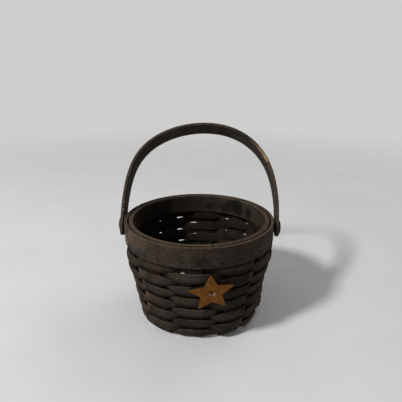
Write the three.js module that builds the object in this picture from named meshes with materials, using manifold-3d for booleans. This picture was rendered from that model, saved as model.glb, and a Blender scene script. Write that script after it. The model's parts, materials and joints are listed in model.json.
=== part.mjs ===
// A small round basket of flat wooden splints, with a swing handle and a wooden star on its front.
// Millimetres, +Z up, front at -Y. The origin is on the table, under the middle of the base.

import * as THREE from 'three';
import { mergeVertices } from 'three/addons/utils/BufferGeometryUtils.js';
import Module from 'manifold-3d';

const manifoldLibrary = await Module();
manifoldLibrary.setup();

// Driving dimensions of the body
const rimDiameter = 165;
const rimHeight = 114;
const footDiameter = 136.8;
const cornerRadius = 9;
const wallSwellPower = 1.35;

// The wall's belly under the rim bands: how far it stands out, and where
const bellyReach = 3.5;
const bellyBelowBand = 17.2;
const bellySpread = 30;

// Splints that cross under the base and stand up as the wall's uprights
const splintWidth = 22;
const splintThickness = 1.1;
const splintHeadings = [-1.8, 32.8, 60, 88.8, 117.7, 146.5];
const splintLayerGap = 0.2;
const splintDropShare = 0.9;

// Weaver hoops, one to a row
const rowCount = 12;
const firstRowHeight = 3.7;
const rowGap = 0.3;
const weaverThickness = 1.1;
const weaveGap = 0.45;
const weaverLead = 1.2;
const weaverSwell = 1.2;

// Rim bands, clamped on the uprights' upper ends
const bandHeight = 21.8;
const outerBandThickness = 3.15;
const innerBandThickness = 4.5;
const bandGap = 0.35;
const lapGap = 0.3;
const outerLapHeading = -112;
const outerLapAngle = 50;
const innerLapHeading = 14;
const innerLapAngle = 66;
const lapShoulderAngle = 2;

// Nails in the outer band: heading, and height as a share of the band
const rimNailPlaces = [
  { heading: -66, heightShare: 0.78 },
  { heading: -14.5, heightShare: 0.16 },
  { heading: 70, heightShare: 0.7 },
  { heading: 163, heightShare: 0.5 },
];
const nailShankRadius = 0.5;
const nailHeadRadius = 1.3;
const nailHeadHeight = 0.6;
const nailClearance = 0.3;
const nailCrownShare = 0.5;

// Swing handle, a flat bent strip
const handleWidth = 20.7;
const handleThickness = 3.6;
const handleReach = 129.6;
const handleShoulderPower = 1.96;
const handleCrownPower = 3.54;
const handleLeanBack = 42.2;
const pivotDepth = 10.9;
const legEndTurns = [80, 60, 40, 20];

// Pivots
const pinRadius = 1.6;
const pinClearance = 0.3;
const pinHeadRadius = 2.8;
const pinHeadHeight = 1;
const washerRadius = 5.6;
const washerThickness = 1.2;
const seatGap = 0.3;
const buttonRadius = 8;
const buttonHeight = 2.2;
const pinGripShare = 0.6;
const pinHeadCrownShare = 0.6;
const buttonDomeShares = [
  { radius: 1, height: 0.5 },
  { radius: 0.8, height: 0.75 },
  { radius: 0.45, height: 0.95 },
];

// Star
const starReach = 23.6;
const starInnerShare = 0.485;
const starThickness = 3.2;
const starHeading = 11.5;
const starBelowBand = 2.2;
const starAboveRow = 1.5;
const starExtraTilt = 3.5;
const starTurn = 4;
const starPointCount = 5;
const starStandOff = 0.3;
const starNailShankRadius = 0.6;
const starNailHeadRadius = 1.6;
const starNailHeadHeight = 0.5;
const starNailTail = 1.6;

// How finely round things are cut
const stepsAcrossSplint = 3;
const stepsAcrossGap = 3;
const cornerSteps = 6;
const cornerRowSteps = 4;
const wallSteps = 12;
const bandStep = 6;
const handleSteps = 48;
const roundSteps = 16;
const smallRoundSteps = 8;
const overrun = 1;

// Worked-out sizes
const splintHalf = splintThickness / 2;
const weaverHalf = weaverThickness / 2;
const wallTopRadius = rimDiameter / 2 - outerBandThickness - bandGap - splintHalf;
const wallFootRadius = footDiameter / 2 - splintHalf;
const cornerTop = splintHalf + cornerRadius;
const baseFlatRadius = wallFootRadius - cornerRadius;
const bandBottom = rimHeight - bandHeight;
const rowPitch = (bandBottom - rowGap - firstRowHeight) / rowCount;
const rowHeight = rowPitch - rowGap;
const weaveOffset = splintHalf + weaveGap + weaverHalf;
const pivotHeight = rimHeight - pivotDepth;
const rad = THREE.MathUtils.degToRad;

// Materials, in the colours of the dark stained wood and the painted star
const weaverWood = new THREE.MeshStandardMaterial({ color: 0x33271f, roughness: 0.62, metalness: 0 });
const splintWood = new THREE.MeshStandardMaterial({ color: 0x241b16, roughness: 0.7, metalness: 0 });
const bandWood = new THREE.MeshStandardMaterial({ color: 0x30241d, roughness: 0.58, metalness: 0 });
const handleWood = new THREE.MeshStandardMaterial({ color: 0x2b1f18, roughness: 0.55, metalness: 0 });
const buttonWood = new THREE.MeshStandardMaterial({ color: 0x261c17, roughness: 0.55, metalness: 0 });
const nailSteel = new THREE.MeshStandardMaterial({ color: 0x6b6258, roughness: 0.5, metalness: 0.8 });
const starPaint = new THREE.MeshStandardMaterial({ color: 0xb9752b, roughness: 0.6, metalness: 0 });

// The middle surface of the woven wall: its radius at a height from the base up to the bands
function wovenRadius(height) {
  if (height < cornerTop) {
    const drop = Math.min(cornerTop - height, cornerRadius);
    return baseFlatRadius + Math.sqrt(cornerRadius ** 2 - drop ** 2);
  }
  const share = Math.min((height - cornerTop) / (rimHeight - cornerTop), 1);
  const slope = (wallTopRadius - wallFootRadius) * (1 - (1 - share) ** wallSwellPower);
  const fromBelly = Math.min(Math.abs(height - (bandBottom - bellyBelowBand)) / bellySpread, 1);
  return wallFootRadius + slope + bellyReach * Math.cos((Math.PI / 2) * fromBelly) ** 2;
}

// The middle surface of the uprights: it runs straight where the bands clamp them
function wallRadius(height) {
  if (height <= bandBottom) {
    return wovenRadius(height);
  }
  const share = Math.min((height - bandBottom) / bandHeight, 1);
  return wovenRadius(bandBottom) + (wallTopRadius - wovenRadius(bandBottom)) * share;
}

// A point at a heading (0 is the front, positive to the right), a radius and a height
function around(headingRadians, radius, height) {
  return [radius * Math.sin(headingRadians), -radius * Math.cos(headingRadians), height];
}

// A closed body from strip sections. Each section has an outer and an inner row of points.
function stripGeometry(sections, closed) {
  const rowLength = sections[0].outer.length;
  const ringLength = 2 * rowLength;
  const positions = [];
  const indices = [];
  for (const section of sections) {
    for (const point of [...section.outer, ...[...section.inner].reverse()]) {
      positions.push(...point);
    }
  }
  const spans = closed ? sections.length : sections.length - 1;
  for (let span = 0; span < spans; span += 1) {
    const here = span * ringLength;
    const next = ((span + 1) % sections.length) * ringLength;
    for (let corner = 0; corner < ringLength; corner += 1) {
      const beside = (corner + 1) % ringLength;
      indices.push(here + corner, next + corner, next + beside);
      indices.push(here + corner, next + beside, here + beside);
    }
  }
  if (!closed) {
    const last = (sections.length - 1) * ringLength;
    for (let corner = 0; corner < rowLength - 1; corner += 1) {
      const across = ringLength - 1 - corner;
      indices.push(corner, corner + 1, across - 1, corner, across - 1, across);
      indices.push(last + corner, last + across - 1, last + corner + 1);
      indices.push(last + corner, last + across, last + across - 1);
    }
  }
  return closedGeometry(positions, indices);
}

// Keeps only positions and turns every face outwards
function closedGeometry(positions, indices) {
  let volume = 0;
  const corner = (index) => new THREE.Vector3().fromArray(positions, 3 * index);
  for (let face = 0; face < indices.length; face += 3) {
    const cross = corner(indices[face + 1]).cross(corner(indices[face + 2]));
    volume += corner(indices[face]).dot(cross);
  }
  const facing = volume < 0 ? [...indices].reverse() : indices;
  const geometry = new THREE.BufferGeometry();
  geometry.setAttribute('position', new THREE.Float32BufferAttribute(positions, 3));
  geometry.setIndex(facing);
  return geometry;
}

// Turned pieces: the profile's x is the radius and its y runs along +X of the part
function turned(profile, steps) {
  const points = profile.map(([radius, along]) => new THREE.Vector2(radius, along));
  const geometry = new THREE.LatheGeometry(points, steps);
  geometry.rotateZ(-Math.PI / 2);
  return merged(geometry);
}

function merged(geometry) {
  const bare = geometry.clone();
  bare.deleteAttribute('normal');
  bare.deleteAttribute('uv');
  const joined = mergeVertices(bare);
  return closedGeometry([...joined.attributes.position.array], [...joined.index.array]);
}

// Cuts holes in a closed geometry with manifold-3d
function toManifold(geometry) {
  const closed = mergeVertices(geometry);
  return new manifoldLibrary.Manifold(new manifoldLibrary.Mesh({
    numProp: 3,
    vertProperties: Float32Array.from(closed.attributes.position.array),
    triVerts: Uint32Array.from(closed.index.array),
  }));
}

function drilled(geometry, drills) {
  let body = toManifold(geometry);
  for (const drill of drills) {
    body = body.subtract(toManifold(drill));
  }
  const mesh = body.getMesh();
  return closedGeometry([...mesh.vertProperties], [...mesh.triVerts]);
}

// A drill along +X of the part from one place to another
function drillAlongX(radius, from, to, height, steps) {
  const drill = turned([[0, from], [radius, from], [radius, to], [0, to]], steps);
  drill.translate(0, 0, height);
  return drill;
}

function part(name, geometry, material) {
  const mesh = new THREE.Mesh(geometry, material);
  mesh.name = name;
  return mesh;
}

// The uprights' headings all the way round, in order: each splint has one at both its ends
const uprightHeadings = splintHeadings
  .flatMap((heading) => [heading, heading - 180])
  .map((heading) => THREE.MathUtils.euclideanModulo(heading, 360))
  .sort((first, second) => first - second);

// The first row and every second one after it lie outside the front upright
const frontUpright = uprightHeadings.indexOf(THREE.MathUtils.euclideanModulo(splintHeadings[0], 360));
const frontParity = frontUpright % 2;

function smallestHeadingGap() {
  const gaps = uprightHeadings.map((heading, index) => {
    const next = uprightHeadings[(index + 1) % uprightHeadings.length];
    return THREE.MathUtils.euclideanModulo(next - heading, 360);
  });
  return Math.min(...gaps);
}

// Half of a splint's middle line: off the pile in the middle of the base, down on the table,
// round the corner and up to the rim. It is curved across by the time it is half round the corner.
function splintHalfPath(layer) {
  const layerHeight = splintHalf + layer * (splintThickness + splintLayerGap);
  const crossingReach = (splintWidth / 2 + splintLayerGap) / Math.tan(rad(smallestHeadingGap() / 2));
  const landing = crossingReach + (baseFlatRadius - crossingReach) * splintDropShare;
  const path = [
    { out: crossingReach, height: layerHeight, roundness: 0 },
    { out: landing, height: splintHalf, roundness: 0 },
  ];
  for (let step = 0; step <= cornerSteps; step += 1) {
    const turn = (Math.PI / 2) * (step / cornerSteps);
    path.push({
      out: baseFlatRadius + cornerRadius * Math.sin(turn),
      height: cornerTop - cornerRadius * Math.cos(turn),
      roundness: Math.min(step / (cornerSteps / 2), 1),
    });
  }
  for (let step = 1; step <= wallSteps; step += 1) {
    const height = cornerTop + (bandBottom - cornerTop) * (step / wallSteps);
    path.push({ out: wallRadius(height), height, roundness: 1 });
  }
  path.push({ out: wallTopRadius, height: rimHeight, roundness: 1 });
  return path;
}

// One splint's section at a point of its path: flat on the base, curved with the wall above it
function splintSection(path, index, side, heading) {
  const before = path[Math.max(index - 1, 0)];
  const after = path[Math.min(index + 1, path.length - 1)];
  const along = new THREE.Vector2(after.out - before.out, after.height - before.height).normalize();
  const normal = new THREE.Vector2(along.y, -along.x);
  const here = path[index];
  const section = { outer: [], inner: [] };
  for (let step = 0; step <= stepsAcrossSplint; step += 1) {
    const across = splintWidth * (step / stepsAcrossSplint - 0.5);
    for (const [row, face] of [['outer', 1], ['inner', -1]]) {
      const radius = here.out + face * splintHalf * normal.x;
      const height = here.height + face * splintHalf * normal.y;
      const bend = across / radius;
      const out = radius - here.roundness * radius * (1 - Math.cos(bend));
      const sideways = across + here.roundness * (radius * Math.sin(bend) - across);
      const point = new THREE.Vector3(sideways, -side * out, height);
      point.applyAxisAngle(new THREE.Vector3(0, 0, 1), rad(heading));
      section[row].push(point.toArray());
    }
  }
  return section;
}

// The pivot pins go through the uprights that stand behind them
function makeSplint(heading, layer) {
  const path = splintHalfPath(layer);
  const front = path.map((_, index) => splintSection(path, index, 1, heading));
  const back = path.map((_, index) => splintSection(path, index, -1, heading));
  return drilled(stripGeometry([...back.reverse(), ...front], false), [pivotDrill()]);
}

function rowMiddle(row) {
  return firstRowHeight + row * rowPitch + rowHeight / 2;
}

// One weaver hoop: outside one upright, inside the next. It stands taller where it passes
// an upright, as the rows beside it are then on the upright's other face. The first row lies
// on the corner, so it is cut more finely from its lower to its upper edge.
function makeWeaver(row) {
  const low = rowMiddle(row) - rowHeight / 2;
  const high = low + rowHeight;
  const swellDown = row > 0 ? weaverSwell : 0;
  const swellUp = row < rowCount - 1 ? weaverSwell : 0;
  const middleRadius = wallRadius(rowMiddle(row));
  const reach = THREE.MathUtils.radToDeg((splintWidth / 2 + weaverLead) / middleRadius);
  const sections = [];
  const heightSteps = row === 0 ? cornerRowSteps : 1;
  const addSection = (heading, offset, swellShare) => {
    const bottom = low - swellDown * swellShare;
    const top = high + swellUp * swellShare;
    const face = (shift) => Array.from({ length: heightSteps + 1 }, (_, step) => {
      const height = bottom + (top - bottom) * (step / heightSteps);
      return around(rad(heading), wallRadius(height) + offset + shift, height);
    });
    sections.push({ outer: face(weaverHalf), inner: face(-weaverHalf) });
  };
  uprightHeadings.forEach((heading, index) => {
    const next = uprightHeadings[(index + 1) % uprightHeadings.length];
    const spacing = THREE.MathUtils.euclideanModulo(next - heading, 360);
    const side = (row + index) % 2 === frontParity ? 1 : -1;
    for (let step = 0; step <= stepsAcrossSplint; step += 1) {
      addSection(heading - reach + 2 * reach * (step / stepsAcrossSplint), side * weaveOffset, 1);
    }
    const gap = spacing - 2 * reach;
    for (let step = 1; step < stepsAcrossGap; step += 1) {
      const share = step / stepsAcrossGap;
      addSection(heading + reach + gap * share, side * weaveOffset * Math.cos(Math.PI * share), 0);
    }
  });
  return stripGeometry(sections, true);
}

// A bent band with a scarfed lap, given by its inner and outer offsets from the uprights' middle
function makeBand(innerOffset, outerOffset, lapHeading, lapAngle) {
  const middle = (innerOffset + outerOffset) / 2;
  const sections = [];
  const addSection = (angle, from, to) => {
    const face = (offset) => [bandBottom, rimHeight].map((height) => (
      around(rad(lapHeading + angle), wallRadius(height) + offset, height)
    ));
    sections.push({ outer: face(to), inner: face(from) });
  };
  const addRun = (start, end, from, to) => {
    const steps = Math.ceil((end - start) / bandStep);
    for (let step = 0; step <= steps; step += 1) {
      addSection(start + (end - start) * (step / steps), from, to);
    }
  };
  addRun(0, lapAngle, middle + lapGap / 2, outerOffset);
  addRun(lapAngle + lapShoulderAngle, 360 - lapShoulderAngle, innerOffset, outerOffset);
  addRun(360, 360 + lapAngle, innerOffset, middle - lapGap / 2);
  return stripGeometry(sections, false);
}

const bandSeat = splintHalf + bandGap;

function makeOuterBand() {
  const drills = [pivotDrill(), ...rimNailPlaces.map(rimNailDrill)];
  const band = makeBand(bandSeat, bandSeat + outerBandThickness, outerLapHeading, outerLapAngle);
  return drilled(band, drills);
}

function makeInnerBand() {
  const band = makeBand(-bandSeat - innerBandThickness, -bandSeat, innerLapHeading, innerLapAngle);
  return drilled(band, [pivotDrill()]);
}

function pivotDrill() {
  const reach = rimDiameter / 2 + handleThickness + overrun;
  return drillAlongX(pinRadius + pinClearance, -reach, reach, pivotHeight, roundSteps);
}

// Nails in the outer band, each with its head proud of the band
function rimNailHeight(place) {
  return bandBottom + bandHeight * place.heightShare;
}

function rimNailDrill(place) {
  const height = rimNailHeight(place);
  const face = wallRadius(height) + bandSeat;
  const from = face - bandGap;
  const to = face + outerBandThickness + overrun;
  const drill = drillAlongX(nailShankRadius + nailClearance, from, to, height, smallRoundSteps);
  return drill.rotateZ(rad(place.heading - 90));
}

function makeRimNail(place) {
  const height = rimNailHeight(place);
  const shankEnd = wallRadius(height) + bandSeat;
  const slope = wallRadius(height + nailHeadRadius) - wallRadius(height);
  const seat = shankEnd + outerBandThickness + slope + nailClearance;
  const nail = turned([
    [0, shankEnd],
    [nailShankRadius, shankEnd],
    [nailShankRadius, seat],
    [nailHeadRadius, seat],
    [nailHeadRadius * nailCrownShare, seat + nailHeadHeight],
    [0, seat + nailHeadHeight],
  ], smallRoundSteps);
  nail.translate(0, 0, height);
  return nail.rotateZ(rad(place.heading - 90));
}

// The washers clear the outer band's proudest place behind them
const washerBacking = [-washerRadius, washerRadius].map((rise) => wallRadius(pivotHeight + rise));
const washerSeat = Math.max(...washerBacking) + bandSeat + outerBandThickness + seatGap;

// The handle's arch in its own plane: half-width and rise of the strip's middle line
const legInnerFace = washerSeat + washerThickness + seatGap;
const legOuterFace = legInnerFace + handleThickness;
const legEndRadius = handleWidth / 2;

function handlePath() {
  const halfWidth = legOuterFace - handleThickness / 2;
  const rise = handleReach - handleThickness / 2;
  const legEnd = (across) => legEndTurns.map((turn) => ({
    across,
    rise: -legEndRadius * Math.sin(rad(turn)),
    width: handleWidth * Math.cos(rad(turn)),
  }));
  const path = legEnd(halfWidth);
  for (let step = 0; step <= handleSteps; step += 1) {
    const turn = Math.PI * (step / handleSteps);
    const cosine = Math.cos(turn);
    path.push({
      across: halfWidth * Math.sign(cosine) * Math.abs(cosine) ** (2 / handleShoulderPower),
      rise: rise * Math.abs(Math.sin(turn)) ** (2 / handleCrownPower),
      width: handleWidth,
    });
  }
  return [...path, ...legEnd(-halfWidth).reverse()];
}

function makeHandle() {
  const path = handlePath();
  const sections = path.map((here, index) => {
    const before = path[Math.max(index - 1, 0)];
    const after = path[Math.min(index + 1, path.length - 1)];
    const along = new THREE.Vector2(after.across - before.across, after.rise - before.rise).normalize();
    const face = (side) => [-1, 1].map((edge) => [
      here.across + side * along.y * handleThickness / 2,
      edge * here.width / 2,
      here.rise - side * along.x * handleThickness / 2,
    ]);
    return { outer: face(1), inner: face(-1) };
  });
  const reach = legOuterFace + overrun;
  const drill = drillAlongX(pinRadius + pinClearance, -reach, reach, 0, roundSteps);
  return drilled(stripGeometry(sections, false), [drill]);
}

// Pivot pin: a head inside the basket, a shank that ends inside the button
const innerBandFace = wallRadius(pivotHeight) - bandSeat - innerBandThickness;
const pinHeadSlope = wallRadius(pivotHeight) - wallRadius(pivotHeight - pinHeadRadius);
const pinHeadSeat = innerBandFace - pinHeadSlope - seatGap;
const buttonSeat = legOuterFace + seatGap;
const pinTip = buttonSeat + buttonHeight * pinGripShare;

function makePin() {
  return turned([
    [0, pinHeadSeat - pinHeadHeight],
    [pinHeadRadius * pinHeadCrownShare, pinHeadSeat - pinHeadHeight],
    [pinHeadRadius, pinHeadSeat - pinHeadHeight / 2],
    [pinHeadRadius, pinHeadSeat],
    [pinRadius, pinHeadSeat],
    [pinRadius, pinTip],
    [0, pinTip],
  ], roundSteps);
}

function makeButton() {
  const bore = pinRadius + pinClearance;
  return turned([
    [0, pinTip + pinClearance],
    [bore, pinTip + pinClearance],
    [bore, buttonSeat],
    [buttonRadius, buttonSeat],
    ...buttonDomeShares.map((share) => (
      [buttonRadius * share.radius, buttonSeat + buttonHeight * share.height]
    )),
    [0, buttonSeat + buttonHeight],
  ], roundSteps);
}

function makeWasher() {
  const from = washerSeat;
  const to = from + washerThickness;
  const bore = pinRadius + pinClearance;
  return turned([
    [bore, from],
    [washerRadius, from],
    [washerRadius, to],
    [bore, to],
    [bore, from],
  ], roundSteps);
}

// The star's corners in its own plane, from the top tip on
const starCorners = [];
for (let corner = 0; corner < 2 * starPointCount; corner += 1) {
  const reach = corner % 2 === 0 ? starReach : starReach * starInnerShare;
  const turn = Math.PI / 2 + rad(starTurn) + (Math.PI * corner) / starPointCount;
  starCorners.push([reach * Math.cos(turn), reach * Math.sin(turn)]);
}

// The star's place: on the highest row that keeps its top tip below the rim band.
// It tips out with the wall and a little more, and its flat back clears the proudest weavers.
const starRow = Math.floor((bandBottom - starBelowBand - starReach - rowMiddle(0)) / rowPitch);
const starHeight = rowMiddle(starRow) + starAboveRow;
const starRun = wallRadius(starHeight + starReach) - wallRadius(starHeight - starReach);
const starTilt = Math.atan(starRun / (2 * starReach)) + rad(starExtraTilt);
const starSeats = [[0, 0], ...starCorners].map(([across, up]) => {
  const weaveRadius = wallRadius(starHeight + up * Math.cos(starTilt)) + weaveOffset + weaverHalf;
  return Math.sqrt(weaveRadius ** 2 - across ** 2) - up * Math.sin(starTilt);
});

function starGroup() {
  const group = new THREE.Group();
  const outwards = Math.max(...starSeats) + starStandOff;
  group.position.fromArray(around(rad(starHeading), outwards, starHeight));
  group.rotation.set(Math.PI / 2 + starTilt, 0, rad(starHeading), 'ZXY');
  return group;
}

function makeStar() {
  const outline = new THREE.Shape(starCorners.map((corner) => new THREE.Vector2(...corner)));
  const body = merged(new THREE.ExtrudeGeometry(outline, { depth: starThickness, bevelEnabled: false }));
  return drilled(body, [starNailDrill()]);
}

// The star's nail goes through the star and the weaver behind it
const starNailEnd = starStandOff + 2 * weaveOffset + weaverThickness + starNailTail;

function starNailDrill() {
  const radius = starNailShankRadius + nailClearance;
  const drill = turned([
    [0, -starNailEnd - overrun],
    [radius, -starNailEnd - overrun],
    [radius, starThickness + overrun],
    [0, starThickness + overrun],
  ], smallRoundSteps);
  return drill.rotateY(-Math.PI / 2);
}

function makeStarNail() {
  const seat = starThickness + nailClearance;
  const nail = turned([
    [0, -starNailEnd],
    [starNailShankRadius, -starNailEnd],
    [starNailShankRadius, seat],
    [starNailHeadRadius, seat],
    [starNailHeadRadius * nailCrownShare, seat + starNailHeadHeight],
    [0, seat + starNailHeadHeight],
  ], smallRoundSteps);
  return nail.rotateY(-Math.PI / 2);
}

const basket = new THREE.Group();

splintHeadings.forEach((heading, layer) => {
  basket.add(part(`splint_${layer + 1}`, makeSplint(heading, layer), splintWood));
});

const starPlace = starGroup();
starPlace.add(part('star', makeStar(), starPaint));
starPlace.add(part('star_nail', makeStarNail(), nailSteel));
starPlace.updateMatrixWorld(true);
basket.add(starPlace);

for (let row = 0; row < rowCount; row += 1) {
  const name = `weaver_row_${String(row + 1).padStart(2, '0')}`;
  const drill = starNailDrill().applyMatrix4(starPlace.matrixWorld);
  basket.add(part(name, drilled(makeWeaver(row), [drill]), weaverWood));
}

basket.add(part('outer_rim_band', makeOuterBand(), bandWood));
basket.add(part('inner_rim_band', makeInnerBand(), bandWood));
rimNailPlaces.forEach((place, index) => {
  basket.add(part(`rim_nail_${index + 1}`, makeRimNail(place), nailSteel));
});

for (const [side, turn] of [['right', 0], ['left', Math.PI]]) {
  const pivot = new THREE.Group();
  pivot.position.set(0, 0, pivotHeight);
  pivot.rotation.z = turn;
  pivot.add(part(`pivot_pin_${side}`, makePin(), nailSteel));
  pivot.add(part(`pivot_washer_${side}`, makeWasher(), buttonWood));
  pivot.add(part(`pivot_button_${side}`, makeButton(), buttonWood));
  basket.add(pivot);
}

const swing = new THREE.Group();
swing.position.set(0, 0, pivotHeight);
swing.rotation.x = -rad(handleLeanBack);
swing.add(part('handle', makeHandle(), handleWood));
basket.add(swing);

export default basket;
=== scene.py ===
import json
import math

import bmesh
import bpy
import numpy as np
from bpy.props import FloatProperty, FloatVectorProperty, IntProperty, PointerProperty
from mathutils import Matrix, Vector


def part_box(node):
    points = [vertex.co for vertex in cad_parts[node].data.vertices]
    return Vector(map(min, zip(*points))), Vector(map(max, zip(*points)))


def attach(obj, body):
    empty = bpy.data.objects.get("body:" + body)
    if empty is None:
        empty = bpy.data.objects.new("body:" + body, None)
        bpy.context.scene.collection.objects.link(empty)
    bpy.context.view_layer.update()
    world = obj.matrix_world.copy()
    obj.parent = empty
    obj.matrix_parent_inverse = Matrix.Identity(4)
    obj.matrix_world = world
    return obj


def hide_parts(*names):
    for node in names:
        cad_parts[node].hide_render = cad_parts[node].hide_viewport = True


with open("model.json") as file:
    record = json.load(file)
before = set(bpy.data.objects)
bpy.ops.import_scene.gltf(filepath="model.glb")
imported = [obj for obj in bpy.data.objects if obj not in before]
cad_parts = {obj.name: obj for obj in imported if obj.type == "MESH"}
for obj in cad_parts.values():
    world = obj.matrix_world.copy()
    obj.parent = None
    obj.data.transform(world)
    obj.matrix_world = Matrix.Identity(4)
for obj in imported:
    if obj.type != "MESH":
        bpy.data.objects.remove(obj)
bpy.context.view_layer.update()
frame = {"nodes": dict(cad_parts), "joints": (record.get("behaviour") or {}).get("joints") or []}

bl_info = {
    "name": "Woven Splint Basket",
    "version": (1, 0, 0),
    "blender": (4, 5, 0),
    "location": "View3D > Sidebar > Basket",
    "description": "Dresses the basket's frame in stained wood splints, bands, handle and star",
    "category": "Add Mesh",
}

MM = 0.001
TURN = 2 * math.pi

RIM_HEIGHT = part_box("outer_rim_band")[1].z
BAND_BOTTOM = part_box("outer_rim_band")[0].z
PIVOT_HEIGHT = frame["joints"][0]["pos_m"][2]
BUTTON_RADIUS = (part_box("pivot_button_right")[1].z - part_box("pivot_button_right")[0].z) / 2
SPLINT_HEADINGS = (-1.8, 32.8, 60, 88.8, 117.7, 146.5)
FRONT_SPLINT = 0
ROW_COUNT = 12

# How far past an upright's edge a row keeps its side, and its share of the swing done there
EDGE_MARGIN = 1 * MM
EDGE_SWING = 0.41

# How early the wall spreads on its way up, 1 for a straight cone
SPREAD = 1.35

# Slits that light shows through: heading in degrees, the row below, half the length in
# millimetres, how open
SLITS = (
    (202.3, 10, 4.6, 1.12), (202.5, 8, 4.1, 1.08), (202, 6, 4.0, 1.08), (189.2, 9, 5.0, 1.02),
    (188.3, 7, 3.2, 0.8), (156, 10, 3.0, 1.05), (156, 8, 1.9, 0.9), (134.8, 10, 1.1, 0.95),
    (135.3, 8, 1.6, 1.0), (222.4, 10, 1.6, 1.05), (222.8, 8, 2.1, 1.1),
)

# Stains on the bands by tone, later ones on top, among them painted shade and painted highlights:
# heading in degrees, height and reach in millimetres, strength
OUTER_BLOTS = (
    # Painted highlight on the band's lit left end
    ("painted_highlight", (-65, 99, 7, 0.7), (-56, 108, 7, 0.4)),
    ("patch", (-61, 93.5, 4, 0.6), (-54.8, 94.5, 6, 0.85), (-47, 96.5, 5.5, 0.85),
        (-41, 98.5, 4.2, 0.7), (-36, 101, 3.2, 0.6), (-45, 93, 4, 0.6)),
    # Pale wood, and on the lit left of the band a painted highlight
    ("pale", (-50, 109, 13, 0.55), (-39, 108, 8, 0.35)),
    ("dark", (6, 100, 5.5, 0.4), (2.5, 98, 4, 0.35)),
    ("patch", (66.5, 108, 5, 0.6)),
    ("dark", (43, 103.5, 5, 0.25)),
    # Pale wood; from heading -90 to -70, on the band's lit left end, also a painted highlight
    ("pale", (58, 104, 8, 0.3), (-90, 106, 13, 0.65), (-76, 106, 14, 0.8), (-70, 102, 6, 0.6),
        (80, 108, 11, 0.5), (92, 107, 12, 0.5)),
    ("dark", (0, 104, 18, 0.16), (14, 103, 18, 0.2), (28, 102, 14, 0.18)),
)
INNER_BLOTS = (
    ("dark", (172.4, 100.2, 5.5, 0.65), (156.5, 98.5, 6.5, 0.8), (154.5, 105.5, 5, 0.5),
        (148.5, 99, 5.5, 0.55), (150.7, 107.5, 6, 0.65), (143, 106.5, 8.5, 0.8),
        (141, 101.5, 8, 0.8), (128, 103.5, 5.6, 0.8), (127.4, 99.5, 5, 0.7)),
    ("patch", (105, 109.8, 4, 0.5)),
    # Painted shadow of the rim on the inner band's back and left, headings 172 to 266
    ("dark", (172, 103, 16, 0.3), (190, 103, 18, 0.4), (208, 103, 18, 0.5), (225, 103, 18, 0.6),
        (243, 103, 18, 0.5), (254, 103, 14, 0.5), (266, 104, 12, 0.5)),
)

# Stains on the outside of the rows, in the same way, with painted shade and painted light among them
WEAVE_BLOTS = (
    # Darker weave right of the star and just under the bands: stain, and painted shade on the side
    # turned from the lamp and under the bands
    ("dark", (19, 81, 8, 0.65), (27, 79, 10, 0.75), (36, 75, 9, 0.7), (25, 69, 10, 0.75),
        (32, 62, 10, 0.7), (41, 57, 8, 0.6), (31, 50, 8, 0.6), (36, 40, 8, 0.5),
        (42.8, 32, 5, 0.4), (-34, 72, 4, 0.45), (14.4, 89, 5, 0.4), (4, 90, 6, 0.4)),
    ("patch", (-1.5, 21, 5, 0.6), (-7.2, 21.5, 5, 0.5), (-17.5, 20, 4.5, 0.4), (-37, 60, 4, 0.4),
        (33.6, 46.3, 5, 0.35)),
    # The left of the weave, which faces the lamp, lightened: pale wood and painted light
    ("pale", (-44, 72, 7, 0.45), (-47, 62, 8, 0.5), (-44, 52, 9, 0.55), (-45, 41, 9, 0.6),
        (-48, 30, 8, 0.5), (-62, 60, 9, 0.4), (-62, 40, 9, 0.4)),
)

# Pale chips on the front upright
CHIPS = (("chip", (-8.5, 85.4, 1.2, 1), (-7.5, 85.4, 1.2, 1)),)

# Marks on the handle's front edge by tone: across, rise and reach in millimetres, strength
RUBBED_PLACES = (
    ("dark", (40, 119, 7, 0.35), (48, 114.5, 7, 0.45), (54.5, 109.5, 6, 0.5)),
    ("bare", (59.9, 104.3, 2.6, 0.6), (63.6, 100.1, 2.8, 0.8)),
    ("tan", (67, 95.6, 2.8, 0.45), (69.2, 92.2, 2.6, 0.6), (71.3, 88.7, 2.6, 0.75),
        (73.5, 84.6, 2.9, 0.95), (75, 81.4, 2.7, 0.95), (76.4, 78.1, 2.2, 0.8)),
    ("bare", (79, 69, 6, 0.5)),
    ("tan", (-85.4, 23, 1.5, 0.6), (-85.2, 13.2, 1.5, 0.6)),
)

# Chips in the star's paint by its nail: across and up in millimetres, and how dark the paint
# is there, or None where it's gone down to the wood. The dark one above the nail is a painted shadow.
STAR_CHIPS_AND_SHADOW = ((-0.9, -1.5, None), (3.3, -1.3, None), (2.4, -2.3, None), (-0.4, 2.5, 0.2))

# How far the foot of the wall strays from round, in millimetres, by heading in degrees
FOOT_STRAY = {
    -180: 0, -95: -2, -75: -1.8, -56: -1, -46: 1.9, -24: 0.2, -5: -4.2, 10: -3, 26: 0.8, 42: 1,
    60: -0.6, 90: 1.8, 130: 0, 180: 0,
}

# Heights between which the foot gets round, and between which the drop at the back comes and goes
FOOT_FADE = (8 * MM, 42 * MM)
DROP_COMES = (14 * MM, 34 * MM)
DROP_GOES = (74 * MM, 92 * MM)
BACK_DROP = 2.4 * MM

# Degrees off the front at which the back begins and is reached, on the left and on the right
BACK_LEFT = (110, 150)
BACK_RIGHT = (130, 160)


def length(name, description, default):
    """A length that can be set."""
    return FloatProperty(
        name=name,
        description=description,
        default=default,
        min=0,
        max=0.5,
        precision=5,
        subtype="DISTANCE",
        unit="LENGTH",
    )


def colour(name, description, default):
    """A colour that can be set."""
    return FloatVectorProperty(
        name=name, description=description, default=default, min=0, max=1, size=3, subtype="COLOR"
    )


def share(name, description, default):
    """A share from 0 to 1 that can be set."""
    return FloatProperty(
        name=name, description=description, default=default, min=0, max=1, subtype="FACTOR"
    )


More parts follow.
